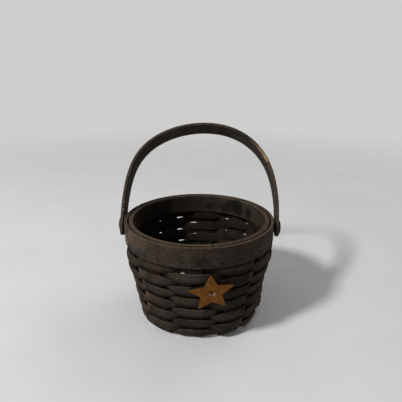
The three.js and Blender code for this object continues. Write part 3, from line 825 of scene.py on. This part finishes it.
class BASKET_OT_weavers(bpy.types.Operator):
    """Make the twelve woven rows, each a hoop that goes over and under the uprights"""

    bl_idname = "basket.weavers"
    bl_label = "Weavers"

    half_lap = 12.5 * MM
    lap_gap = 0.12 * MM
    flare = 0.2 * MM
    stray = 0.07 * MM
    stain_off_reach = 1.2 * MM
    station = 1.9 * MM
    overlap = 0.1 * MM
    edge_radius = 0.38 * MM
    to_floor = 3.1 * MM
    to_floor_from = (math.radians(50), math.radians(90))

    def execute(self, context):
        stain = tone("weaver_stain")
        blots = {"patch": tone("old_paint"), "dark": shade(stain, 0.25), "pale": tone("bare_wood_and_highlight")}
        blots_and_painted_light = blots_on(WEAVE_BLOTS, settings().weave.weave_reach + self.stain_off_reach, blots)
        wood = stained_wood("weaver_wood", stain, 0.3, 0.6, blots_and_painted_light, length_patches=0.75)
        for row in range(ROW_COUNT):
            piece = self.weaver(f"woven_row_{row + 1:02d}", row)
            dress(piece, "basket", "weaver_wood", wood, f"weaver_row_{row + 1:02d}")
        return {"FINISHED"}

    def weaver(self, name, row):
        """One row, with its ends lapped behind an upright."""
        sizes = settings().weave
        seed = sizes.seed * 100 + row
        draw = np.random.default_rng(seed)
        inside = [k for k in range(2 * len(SPLINT_HEADINGS)) if (row + k) % 2 != front_parity()]
        lap_at = upright_headings()[inside[int(draw.integers(len(inside)))]]
        radius = float(wall_radius(row_middle(row)))
        lap = self.half_lap / radius
        stations = int(round((TURN + 2 * lap) * radius / self.station))
        heading = np.linspace(lap_at - lap, lap_at + TURN + lap, stations)
        side = weave_sides(heading, row)
        top, bottom = self.edges(heading, side, row)
        thickness = sizes.weaver_thickness
        shape = (top - bottom, thickness, self.edge_radius)
        section, across, through = strip_section(6, 2, *shape)
        shares = across / np.max(np.abs(across), axis=1)[:, None]
        crown = sizes.weaver_crown * (1 - shares**2) * side[:, None]
        flare = -self.flare * shares * np.clip(side, 0, 1)[:, None]
        reach = sizes.weave_reach + ripple(heading, seed + 3, 3, 14, self.stray)
        tail = smooth_step(1 - 3 * lap / TURN, 1 - lap / TURN, (heading - lap_at) / TURN)
        offset = side * reach - tail * (thickness + self.lap_gap)
        height = (row_middle(row) + (top + bottom) / 2)[:, None] + across
        place = wall_radius(np.maximum(height, sizes.first_row)) + offset[:, None]
        place = place + crown + flare + through
        points = settled(around(heading[:, None], place, height))
        wear = self.wear(section, shares, side, heading, row)
        along = run_along(points[:, 0])
        return strip_piece(name, points, along, (across[0], through[0]), wear, row * 2.3 + 20)

    def edges(self, heading, side, row):
        """Upper and lower edge off the row's middle line. It stands taller where it bows."""
        sizes = settings().weave
        full = smooth_step(0.06, 0.8, np.abs(side)) * sizes.weaver_swell
        up = full * (1 - slit_share(heading, row)) * (row < ROW_COUNT - 1)
        down = full * (1 - slit_share(heading, row - 1)) * (row > 0)
        if row == 0:
            away = np.abs(np.mod(heading + math.pi, TURN) - math.pi)
            down = self.to_floor * smooth_step(*self.to_floor_from, away)
        half = row_pitch() / 2 + self.overlap
        strays = [ripple(heading, sizes.seed * 10 + row + k, 4, 26, sizes.unevenness) for k in (0, 1)]
        return half + up + strays[1], -half - down + strays[0]

    def wear(self, section, shares, side, heading, row):
        """How worn a row is at each place, with a painted highlight on its upper faces, and below 0
        how dark its painted shade is: on its back, in hollows, along its lower edges and under the
        bands.
        """
        edge = (section[:, 2] != 0) * (shares > 0)
        outside = np.clip(0.45 + 0.55 * side, 0, 1)[:, None]
        # Rubbed upper edges, and a painted highlight over the upper part of each face, both less
        # where the row bows in
        edge_wear_and_painted_light = np.maximum(edge, 0.55 * smooth_step(0.3, 0.9, shares)) * outside
        # Painted shade where the row bows in behind an upright and along its lower edge, where shadow
        # falls
        painted_shade = 0.75 * smooth_step(0.1, -0.5, side)[:, None] + 0.85 * smooth_step(0.15, -1, shares)
        painted_shade = painted_shade * smooth_step(-2, 5, row)
        if row == ROW_COUNT - 1:
            # Painted shadow of the rim bands along the top row's upper part
            edge_wear_and_painted_light, painted_shade = 0, np.maximum(painted_shade, 0.8 * smooth_step(0.2, 0.8, shares))
        # Painted shade on the back and the lower edges, deeper on the left where the inside lies in
        # shadow
        left = np.clip(-np.sin(heading), 0, 1)[:, None]
        return edge_wear_and_painted_light - np.clip(np.where(section[:, 1] > 0, painted_shade, 0.6 + 0.25 * left), 0, 1)


def band_piece(name, inner, outer, lap_heading, lap_angle, seed):
    """A bent band whose two ends are halved and lie on each other."""
    shoulder, spacing = math.radians(2), math.radians(1.5)
    half_gap = 0.15 * MM
    middle = (inner + outer) / 2
    lap = math.radians(lap_angle)

    def run(start, end, low, high):
        """Stations from one heading to another, with the band's inner and outer face."""
        count = max(2, int(math.ceil((end - start) / spacing)))
        return [(start + (end - start) * k / count, low, high) for k in range(count + 1)]

    stations = run(0, lap, middle + half_gap, outer)
    stations += run(lap + shoulder, TURN - shoulder, inner, outer)
    stations += run(TURN, TURN + lap, inner, middle - half_gap)
    turn, low, high = np.array(stations).T
    heading = math.radians(lap_heading) + turn
    shape = (RIM_HEIGHT - BAND_BOTTOM, high - low, settings().rim.roundness)
    section, across, through = strip_section(8, 3, *shape)
    bow = ripple(heading, seed, 2, 9, 0.06 * MM) * 0.5
    dip = np.where(across > 0, ripple(heading, seed + 1, 3, 16, 0.1 * MM)[:, None], 0)
    height = (RIM_HEIGHT + BAND_BOTTOM) / 2 + across
    place = wall_radius(height) + ((low + high) / 2)[:, None] + through + bow[:, None]
    points = around(heading[:, None], place, height + np.minimum(dip, 0))
    wear = np.where(section[:, 2] != 0, np.where(section[:, 2] > 0, 1.0, 0.55), 0.0)
    along = run_along(points[:, 0])
    return strip_piece(name, points, along, (across[0], through[0]), wear, seed * 1.7)


class BASKET_OT_rim_bands(bpy.types.Operator):
    """Make the outer and the inner rim band, each with its lap"""

    bl_idname = "basket.rim_bands"
    bl_label = "Rim bands"

    outer_lap = (-112, 50)
    inner_lap = (14, 66)

    def execute(self, context):
        rim = settings().rim
        blots = {
            "patch": tone("old_paint"),
            "dark": tone("dark_stain_and_shade"),
            "pale": tone("bare_wood_and_highlight"),
            # A lighter copy of bare wood, used as a painted highlight
            "painted_highlight": tone("bare_wood_and_highlight", 1.7),
        }
        outer = rim.seat + rim.outer_thickness
        inner = -rim.seat - rim.inner_thickness
        band = band_piece("rim_band_outside", rim.seat, outer, *self.outer_lap, 31)
        wood = self.wood("outer_band_wood", blots_on(OUTER_BLOTS, outer, blots))
        dress(band, "basket", "rim_wood", wood, "outer_rim_band")
        band = band_piece("rim_band_inside", inner, -rim.seat, *self.inner_lap, 32)
        wood = self.wood("inner_band_wood", blots_on(INNER_BLOTS, inner, blots))
        dress(band, "basket", "rim_wood", wood, "inner_rim_band")
        return {"FINISHED"}

    def wood(self, name, blots_and_painted_light):
        """The bands' wood, with one band's own stains and painted marks of light and shade."""
        return stained_wood(name, tone("band_stain"), 0.35, 0.75, blots_and_painted_light)


class BASKET_OT_handle(bpy.types.Operator):
    """Make the swing handle, a flat bent strip with round ends"""

    bl_idname = "basket.handle"
    bl_label = "Handle"

    # How square the arch's shoulder and its crown are, on the right and on the left
    right_bend = (2.048, 3.127)
    left_bend = (1.832, 3.904)
    bulge = 1.1 * MM
    bulge_by = 25 * MM
    crown_lift = 1.45 * MM
    crown_tilt = 1.44 * MM
    left_stretch = 1.27
    end_steps = 14
    arch_steps = 120

    def execute(self, context):
        stain = tone("handle_stain")
        marks = {"tan": tone("tan_wood"), "bare": tone("bare_wood_and_highlight"), "dark": shade(stain, 0.35)}
        blots_and_painted_light = [
            (self.spot(*place), reach * MM, marks[mark], strength)
            for mark, *places in RUBBED_PLACES
            for *place, reach, strength in places
        ]
        wood = stained_wood("handle_wood", stain, 0.4, 0.35, blots_and_painted_light)
        dress(self.handle(), "handle", "handle_wood", wood, "handle")
        return {"FINISHED"}

    def path(self):
        """Across and rise of the strip's middle line, and its width, from one end to the other."""
        sizes = settings().handle
        half_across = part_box("handle")[1].x - sizes.thickness / 2
        rise = sizes.reach - sizes.thickness / 2
        end = []
        for step in range(1, self.end_steps):
            turn = math.radians(90 - 90 * (step / self.end_steps) ** 1.35)
            end.append((half_across, -sizes.width / 2 * math.sin(turn), sizes.width * math.cos(turn)))
        arch = []
        for step in range(self.arch_steps + 1):
            turn = math.pi * step / self.arch_steps
            cosine = math.cos(turn)
            shoulder, crown = self.right_bend if cosine > 0 else self.left_bend
            climb = math.sin(turn) ** (2 / crown) if 0 < turn < math.pi else 0
            across = half_across * abs(cosine) ** (2 / shoulder)
            across += self.bulge * min(climb * rise / self.bulge_by, 1) * min(abs(cosine) * 4, 1)
            across = math.copysign(across, cosine)
            lift = (self.crown_lift + self.crown_tilt * across / half_across) * climb**3
            arch.append((across, rise * climb + lift, sizes.width))
        far = [(-across, self.left_stretch * height, width) for across, height, width in end[::-1]]
        return np.array(end + arch + far)

    def place(self, points):
        """From the handle's own plane to the leaning handle."""
        lean = Matrix.Rotation(-settings().handle.lean, 3, "X")
        return points @ np.array(lean).T + (0, 0, PIVOT_HEIGHT)

    def spot(self, across, rise):
        """A place on the front edge of the strip, given across and up the handle."""
        edge = -settings().handle.width / 2
        return tuple(self.place(np.array([across * MM, edge, rise * MM])))

    def handle(self):
        """The bent strip, from its path."""
        sizes = settings().handle
        path = self.path()
        line = path[:, :2]
        along = run_along(line)
        shape = (path[:, 2], sizes.thickness, sizes.roundness)
        section, across, through = strip_section(8, 3, *shape)
        sideways, up = off_line(line, through)
        points = self.place(np.stack([sideways, across, up], -1))
        wear = (section[:, 2] != 0).astype(float)
        middle = self.arch_steps // 2
        return strip_piece("swing_handle", points, along, (across[middle], through[middle]), wear, 55)


class BASKET_OT_pivots(bpy.types.Operator):
    """Make the two pivots: button, pin and washer on each side"""

    bl_idname = "basket.pivots"
    bl_label = "Pivots"

    bore = 1.9 * MM

    def execute(self, context):
        wood = stained_wood("button_wood", tone("handle_stain"), 0.3, 0.6)
        steel = nail_steel()
        for side, turn in (("right", 0), ("left", math.pi)):
            place = Matrix.Translation((0, 0, PIVOT_HEIGHT)) @ Matrix.Rotation(turn, 4, "Z")
            dress(self.button(side, place), "basket", "button_wood", wood, f"pivot_button_{side}")
            dress(self.pin(side, place), "basket", "nail_steel", steel, f"pivot_pin_{side}")
            dress(self.washer(side, place), "basket", "button_wood", wood, f"pivot_washer_{side}")
        return {"FINISHED"}

    def span(self, node):
        """Where a node starts and ends along the pivots' axis."""
        low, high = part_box(node)
        return low.x, high.x

    def button(self, side, place):
        """A domed button with a bore for the pin."""
        seat, face = self.span("pivot_button_right")
        tip = self.span("pivot_pin_right")[1] + 0.15 * MM
        edge = 0.35 * MM
        rise = face - seat - edge
        profile = [(0, tip), (self.bore, tip), (self.bore, seat), (BUTTON_RADIUS - 0.4 * MM, seat)]
        wear = [0] * len(profile)
        for step, turn in enumerate(quarter(14)[:-1]):
            dome = rise * math.sin(turn) ** 1.1
            profile.append((BUTTON_RADIUS * math.cos(turn) ** 0.55, seat + edge + dome))
            wear.append(1 if 1 < step < 6 else 0.25)
        profile.append((0, face))
        wear.append(0.25)
        return turned_piece(f"handle_button_{side}", profile, wear, 48, place, 61)

    def pin(self, side, place):
        """A pin with its head inside the basket."""
        start, tip = self.span("pivot_pin_right")
        shank, head, soft = 1.6 * MM, 2.8 * MM, 0.2 * MM
        seat = start + 1 * MM
        dome = 0.6 * MM
        profile = [(head * math.sin(t), start + dome * (1 - math.cos(t))) for t in quarter(8)]
        profile += [(head, seat), (shank, seat), (shank, tip - soft), (shank - soft, tip), (0, tip)]
        return turned_piece(f"handle_pin_{side}", profile, [0] * len(profile), 32, place, 62)

    def washer(self, side, place):
        """A flat washer between the handle and the outer band."""
        low, high = self.span("pivot_washer_right")
        radius, soft, steps = 5.6 * MM, 0.25 * MM, 40
        loop = [(self.bore, low), (radius - soft, low), (radius, low + soft)]
        loop += [(radius, high - soft), (radius - soft, high), (self.bore, high)]
        loop = np.array(loop)
        points = lathe(loop, steps) @ np.array(place.to_3x3()).T + np.array(place.translation)
        along = np.linspace(0, TURN * radius, steps + 1)
        wear = np.zeros(len(loop))
        return strip_piece(f"handle_washer_{side}", points, along, loop.T, wear, 63, closed=True)


def nail_head(radius, seat, edge, rise):
    """Profile of a nail's domed head, from its seat to its top."""
    turns = quarter(6)[:-1]
    dome = [(radius * math.cos(turn), seat + edge + rise * math.sin(turn)) for turn in turns]
    return [(radius - 0.1 * MM, seat), *dome, (0, seat + edge + rise)]


class BASKET_OT_rim_nails(bpy.types.Operator):
    """Make the small nails in the outer band"""

    bl_idname = "basket.rim_nails"
    bl_label = "Rim nails"

    def execute(self, context):
        steel = nail_steel()
        for number in range(1, 5):
            node = f"rim_nail_{number}"
            dress(self.nail(number, node), "basket", "nail_steel", steel, node)
        return {"FINISHED"}

    def nail(self, number, node):
        """A nail that goes straight into the outer band."""
        low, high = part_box(node)
        middle = (low + high) / 2
        heading = math.atan2(middle.x, -middle.y)
        corners = [corner.co for corner in frame["nodes"][node].data.vertices]
        reach = [co.x * math.sin(heading) - co.y * math.cos(heading) for co in corners]
        shank, head = 0.5 * MM, 0.6 * MM
        start, seat = min(reach), max(reach) - head
        edge = 0.15 * MM
        profile = [(0, start), (shank, start), (shank, seat)]
        profile += nail_head((high.z - low.z) / 2, seat, edge, head - edge)
        place = Matrix.Translation((0, 0, middle.z)) @ Matrix.Rotation(heading - math.pi / 2, 4, "Z")
        return turned_piece(f"band_nail_{number}", profile, [0] * len(profile), 20, place, 64)


class BASKET_OT_star(bpy.types.Operator):
    """Make the painted star and the nail that holds it"""

    bl_idname = "basket.star"
    bl_label = "Star"

    heading = math.radians(11.5)
    tilt = math.radians(11.179)
    outwards = 80.288 * MM
    above_row = 1.1 * MM
    own_turn = math.radians(4)
    point_shares = (1.035, 1.035, 1.035, 1.045, 1.07)
    tip_blunt = 3.4 * MM
    notch_blunt = 0.5 * MM
    stray = 0.008
    nail_depth = 6.1 * MM

    def execute(self, context):
        place = self.place()
        dress(self.star(place), "basket", "star_paint", star_paint(), "star")
        dress(self.nail(place), "basket", "nail_steel", nail_steel(), "star_nail")
        return {"FINISHED"}

    def place(self):
        """From the star's own plane, y up and z outwards, to its place on the wall."""
        seat = around(self.heading, self.outwards, row_middle(8) + self.above_row)
        lie = Matrix.Rotation(math.pi / 2 + self.tilt, 4, "X")
        return Matrix.Translation(Vector(seat)) @ Matrix.Rotation(self.heading, 4, "Z") @ lie

    def outline(self):
        """The star's outline with blunt tips and slightly uneven points."""
        sizes = settings().star
        draw = np.random.default_rng(5)
        corners = []
        for corner in range(10):
            turn = math.pi / 2 + self.own_turn + math.pi * corner / 5
            reach = sizes.inner if corner % 2 else self.point_shares[corner // 2]
            reach *= sizes.reach * (1 - abs(draw.normal()) * self.stray)
            corners.append(np.array([reach * math.cos(turn), reach * math.sin(turn)]))
        outline = []
        for index, corner in enumerate(corners):
            before, after = corners[index - 1], corners[(index + 1) % 10]
            blunt, far_blunt = self.tip_blunt, self.notch_blunt
            if index % 2:
                blunt, far_blunt = far_blunt, blunt
            start = self.towards(corner, before, blunt)
            end = self.towards(corner, after, blunt)
            stop = self.towards(after, corner, far_blunt)
            for t in np.linspace(0, 1, 5):
                outline.append((1 - t) ** 2 * start + 2 * t * (1 - t) * corner + t * t * end)
            outline += [end + (stop - end) * step / 6 for step in range(1, 6)]
        return np.array(outline)

    def towards(self, start, end, distance):
        """The point that far from one point towards another."""
        return start + (end - start) / np.linalg.norm(end - start) * distance

    def star(self, place):
        """The star, with soft edges and a hole for its nail."""
        sizes = settings().star
        outline = self.outline()
        count = len(outline)
        tangent = np.roll(outline, -1, axis=0) - np.roll(outline, 1, axis=0)
        tangent /= np.linalg.norm(tangent, axis=1)[:, None]
        outward = np.stack([tangent[:, 1], -tangent[:, 0]], -1) * sizes.roundness
        top, soft, turns = sizes.thickness, sizes.roundness, quarter(3)
        back = [(1 - math.sin(turn), soft * (1 - math.cos(turn))) for turn in turns]
        front = [(1 - math.cos(turn), top - soft * (1 - math.sin(turn))) for turn in turns]
        angle = np.arctan2(outline[:, 1], outline[:, 0])
        hole = 0.9 * MM * np.stack([np.cos(angle), np.sin(angle)], -1)
        rings = [(hole, 0, 0)]
        rings += [(hole + (outline - outward - hole) * share, 0, 0) for share in (0.35, 0.7)]
        # The back edge and the sides get 1 and go nearly black as painted shade; the front's rounded
        # edge less, its face none
        for (inset, level), edge_wear_and_painted_light in zip(back + front, (1, 1, 1, 1, 1, 0.9, 0.45, 0)):
            rings.append((outline - outward * inset, level, edge_wear_and_painted_light))
        face = rings[-1][0]
        rings += [(hole + (face - hole) * share, top, 0) for share in (0.93, 0.7, 0.35, 0.12, 0)]
        vertices = [[*point, level] for points, level, _ in rings for point in points]
        wear = [edge_wear_and_painted_light for _, _, edge_wear_and_painted_light in rings for _ in range(count)]
        faces = grid(len(rings), count, len(rings))
        return wooden("painted_star", vertices, faces, "POINT", vertices, wear, place)

    def nail(self, place):
        """The nail through the star's middle."""
        shank, head, edge, rise = 0.6 * MM, 1.6 * MM, 0.12 * MM, 0.38 * MM
        seat = settings().star.thickness + 0.3 * MM
        end = -self.nail_depth
        profile = [(0, end), (shank * 0.3, end), (shank, end + 1.2 * MM), (shank, seat)]
        profile += nail_head(head, seat, edge, rise)
        axis = place @ Matrix.Rotation(-math.pi / 2, 4, "Y")
        return turned_piece("star_brad", profile, [0] * len(profile), 24, axis, 65)


class BASKET_OT_stage(bpy.types.Operator):
    """Make the floor, the lights and the camera"""

    bl_idname = "basket.stage"
    bl_label = "Stage"

    # Name, place, size in metres and power of each lamp, and where they point
    lamps = (
        ("key_light", (-1.33, -1.12, 1.72), 0.34, 50.0),
        ("back_light", (0.95, 1.1, 1.6), 1.2, 7.0),
    )
    aim = (0, 0, 0.07)
    floor_reach = 3.0
    floor_clears = (0.45, 1.5)

    def execute(self, context):
        self.floor()
        for lamp in self.lamps:
            self.lamp(*lamp)
        self.surroundings()
        self.camera()
        context.scene.view_settings.view_transform = "Standard"
        return {"FINISHED"}

    def floor(self):
        """A wide floor that clears away at its far edges."""
        mesh = bpy.data.meshes.new("floor")
        corners = [(-1, -1, 0), (1, -1, 0), (1, 1, 0), (-1, 1, 0)]
        mesh.from_pydata(np.multiply(corners, self.floor_reach).tolist(), [], [[0, 1, 2, 3]])
        floor = in_scene("floor", mesh)
        finish = Finish("floor_paper")
        cloth = finish.band(finish.noise(finish.place(), 9, 3.0, 0.5), 0.3, 0.7)
        paper = finish.mix(cloth, tone("floor_paper", 0.98), tone("floor_paper", 1.02))
        far = finish.band(finish.measure("LENGTH", finish.place()), *self.floor_clears)
        clear = finish.node("BsdfTransparent", "BSDF", {})
        shaders = {"Fac": far, 1: finish.shader.outputs["BSDF"], 2: clear}
        blend = finish.node("MixShader", "Shader", shaders)
        finish.put(finish.tree.nodes["Material Output"].inputs["Surface"], blend)
        mesh.materials.append(finish.surface(paper, 0.9, shine=0.1))

    def surroundings(self):
        """Soft light from all round, and a plain grey behind everything."""
        world = bpy.data.worlds.new("studio")
        bpy.context.scene.world = world
        world.use_nodes = True
        nodes = Nodes(world.node_tree)
        nodes.tree.nodes.clear()
        rays = nodes.tree.nodes.new("ShaderNodeLightPath").outputs
        seen = nodes.reckon("MAXIMUM", rays["Is Camera Ray"], rays["Is Glossy Ray"])
        ambient = {"Color": (1, 1, 0.94), "Strength": 0.33}
        backdrop = {"Color": (0.62, 0.62, 0.615), "Strength": 1}
        lights = [nodes.node("Background", "Background", light) for light in (ambient, backdrop)]
        mix = nodes.node("MixShader", "Shader", {"Fac": seen, 1: lights[0], 2: lights[1]})
        nodes.put(nodes.tree.nodes.new("ShaderNodeOutputWorld").inputs["Surface"], mix)

    def lamp(self, name, place, size, power):
        light = bpy.data.lights.new(name, "AREA")
        light.shape = "DISK"
        light.size = size
        light.energy = power
        lamp = in_scene(name, light)
        lamp.location = place
        lamp.rotation_euler = (Vector(self.aim) - Vector(place)).to_track_quat("-Z", "Y").to_euler()

    def camera(self):
        turn, pitch = math.radians(3.4), math.radians(18.93)
        distance, height = 412.5 * MM, 273.5 * MM
        camera = bpy.data.cameras.new("camera")
        camera.sensor_width = 36
        camera.lens = 35.41
        camera.shift_x = 0.0047
        camera.clip_start = 0.02
        holder = in_scene("camera", camera)
        holder.location = (distance * math.sin(turn), -distance * math.cos(turn), height)
        holder.rotation_euler = (math.pi / 2 - pitch, 0, turn)
        bpy.context.scene.camera = holder


OPERATORS = (
    BASKET_OT_stage,
    BASKET_OT_uprights,
    BASKET_OT_weavers,
    BASKET_OT_rim_bands,
    BASKET_OT_rim_nails,
    BASKET_OT_handle,
    BASKET_OT_pivots,
    BASKET_OT_star,
)


class BASKET_PT_sidebar(bpy.types.Panel):
    """The basket's pieces and settings"""

    bl_idname = "BASKET_PT_sidebar"
    bl_label = "Woven Splint Basket"
    bl_space_type = "VIEW_3D"
    bl_region_type = "UI"
    bl_category = "Basket"

    def draw(self, context):
        for operator in OPERATORS:
            self.layout.operator(operator.bl_idname)
        basket = context.scene.basket
        for group in (basket.weave, basket.rim, basket.handle, basket.star, basket.finish):
            box = self.layout.box()
            for name in group.__annotations__:
                box.prop(group, name)


CLASSES = (
    BasketWeaveSizes,
    BasketRimSizes,
    BasketHandleSizes,
    BasketStarSizes,
    BasketFinish,
    BasketSettings,
    *OPERATORS,
    BASKET_PT_sidebar,
)


def register():
    for cls in CLASSES:
        bpy.utils.register_class(cls)
    bpy.types.Scene.basket = PointerProperty(type=BasketSettings)


def unregister():
    del bpy.types.Scene.basket
    for cls in reversed(CLASSES):
        bpy.utils.unregister_class(cls)


def main():
    register()
    bpy.ops.basket.stage()
    bpy.ops.basket.uprights()
    bpy.ops.basket.weavers()
    bpy.ops.basket.rim_bands()
    bpy.ops.basket.rim_nails()
    bpy.ops.basket.handle()
    bpy.ops.basket.pivots()
    bpy.ops.basket.star()


if __name__ == "__main__":
    main()
